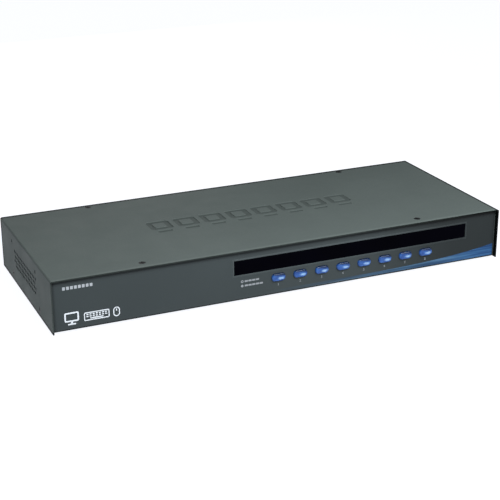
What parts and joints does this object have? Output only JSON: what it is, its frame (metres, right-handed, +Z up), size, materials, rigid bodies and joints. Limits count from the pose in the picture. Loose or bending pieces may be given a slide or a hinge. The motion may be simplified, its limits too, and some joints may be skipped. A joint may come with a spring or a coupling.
{
  "type": "kvm switch",
  "caption": "Low, wide steel-cased KVM switch with a smoked window over a row of small blue buttons, side vents and rear sockets.",
  "frame": {"origin": "on the surface that the feet stand on, under the middle of the whole object's box", "axes": "+X to the right as seen from the front, +Y to the rear, +Z up"},
  "size_m": [0.4, 0.165, 0.046],
  "materials": {
    "cover_paint": "fine matt powder coat",
    "tray_paint": "fine matt powder coat",
    "panel_print": "satin printed sheet",
    "smoked_lens": "gloss",
    "black_screws": "black oxide",
    "button_blue": "translucent gloss",
    "plunger_white": "moulded",
    "nickel_shell": "nickel plate",
    "video_insert": "moulded",
    "jack_post_steel": "nickel plate",
    "zinc_steel": "zinc plate",
    "contact_brass": "plated",
    "socket_black": "moulded",
    "keyboard_purple": "moulded",
    "mouse_green": "moulded",
    "tongue_white": "moulded",
    "foot_rubber": "matt",
    "board_green": "solder mask",
    "led_green": "clear tinted",
    "led_red": "clear tinted",
    "ribbon_grey": "ribbed",
    "chip_black": "moulded epoxy",
    "capacitor_sleeve": "shrink sleeve",
    "sink_aluminium": "black anodised",
    "crystal_can": "tin plate",
    "buzzer_case": "moulded"
  },
  "bodies": {
    "case": {"top_cover": "cover_paint", "chassis_tray": "tray_paint", "front_overlay": "panel_print", "display_window": "smoked_lens", "cover_top_screws": "black_screws", "cover_side_screws": "black_screws", "pc_port_shells": "nickel_shell", "pc_port_inserts": "video_insert", "console_video_shell": "nickel_shell", "console_video_insert": "video_insert", "jack_posts": "jack_post_steel", "ps2_housing": "socket_black", "keyboard_socket": "keyboard_purple", "mouse_socket": "mouse_green", "usb_shell": "nickel_shell", "usb_tongues": "tongue_white", "power_inlet": "socket_black", "power_pin": "contact_brass", "foot_front_left": "foot_rubber", "foot_front_right": "foot_rubber", "foot_rear_left": "foot_rubber", "foot_rear_right": "foot_rubber", "front_board": "board_green", "front_board_posts": "zinc_steel", "front_board_screws": "zinc_steel", "switch_bases": "socket_black", "switch_frames": "zinc_steel", "online_leds": "led_green", "selected_leds": "led_red", "led_holder": "socket_black", "main_board": "board_green", "main_board_screws": "zinc_steel", "board_standoffs": "contact_brass", "front_header": "socket_black", "main_header": "socket_black", "ribbon_cable": "ribbon_grey", "integrated_circuits": "chip_black", "electrolytic_capacitors": "capacitor_sleeve", "voltage_regulator": "chip_black", "heat_sink": "sink_aluminium", "crystal": "crystal_can", "buzzer": "buzzer_case", "tray_nuts": "zinc_steel", "rack_ear_nuts": "zinc_steel"},
    "button_1": {"button_1": "button_blue", "switch_plunger_1": "plunger_white"},
    "button_2": {"button_2": "button_blue", "switch_plunger_2": "plunger_white"},
    "button_3": {"button_3": "button_blue", "switch_plunger_3": "plunger_white"},
    "button_4": {"button_4": "button_blue", "switch_plunger_4": "plunger_white"},
    "button_5": {"button_5": "button_blue", "switch_plunger_5": "plunger_white"},
    "button_6": {"button_6": "button_blue", "switch_plunger_6": "plunger_white"},
    "button_7": {"button_7": "button_blue", "switch_plunger_7": "plunger_white"},
    "button_8": {"button_8": "button_blue", "switch_plunger_8": "plunger_white"}
  },
  "joints": [
    {"name": "button_1_press", "type": "slide", "parent": "case", "child": "button_1", "axis": [0, 1, 0], "range_m": [0, 0.0005], "stiffness_N_per_m": 2000, "springref_m": -0.0003},
    {"name": "button_2_press", "type": "slide", "parent": "case", "child": "button_2", "axis": [0, 1, 0], "range_m": [0, 0.0005], "stiffness_N_per_m": 2000, "springref_m": -0.0003},
    {"name": "button_3_press", "type": "slide", "parent": "case", "child": "button_3", "axis": [0, 1, 0], "range_m": [0, 0.0005], "stiffness_N_per_m": 2000, "springref_m": -0.0003},
    {"name": "button_4_press", "type": "slide", "parent": "case", "child": "button_4", "axis": [0, 1, 0], "range_m": [0, 0.0005], "stiffness_N_per_m": 2000, "springref_m": -0.0003},
    {"name": "button_5_press", "type": "slide", "parent": "case", "child": "button_5", "axis": [0, 1, 0], "range_m": [0, 0.0005], "stiffness_N_per_m": 2000, "springref_m": -0.0003},
    {"name": "button_6_press", "type": "slide", "parent": "case", "child": "button_6", "axis": [0, 1, 0], "range_m": [0, 0.0005], "stiffness_N_per_m": 2000, "springref_m": -0.0003},
    {"name": "button_7_press", "type": "slide", "parent": "case", "child": "button_7", "axis": [0, 1, 0], "range_m": [0, 0.0005], "stiffness_N_per_m": 2000, "springref_m": -0.0003},
    {"name": "button_8_press", "type": "slide", "parent": "case", "child": "button_8", "axis": [0, 1, 0], "range_m": [0, 0.0005], "stiffness_N_per_m": 2000, "springref_m": -0.0003}
  ]
}
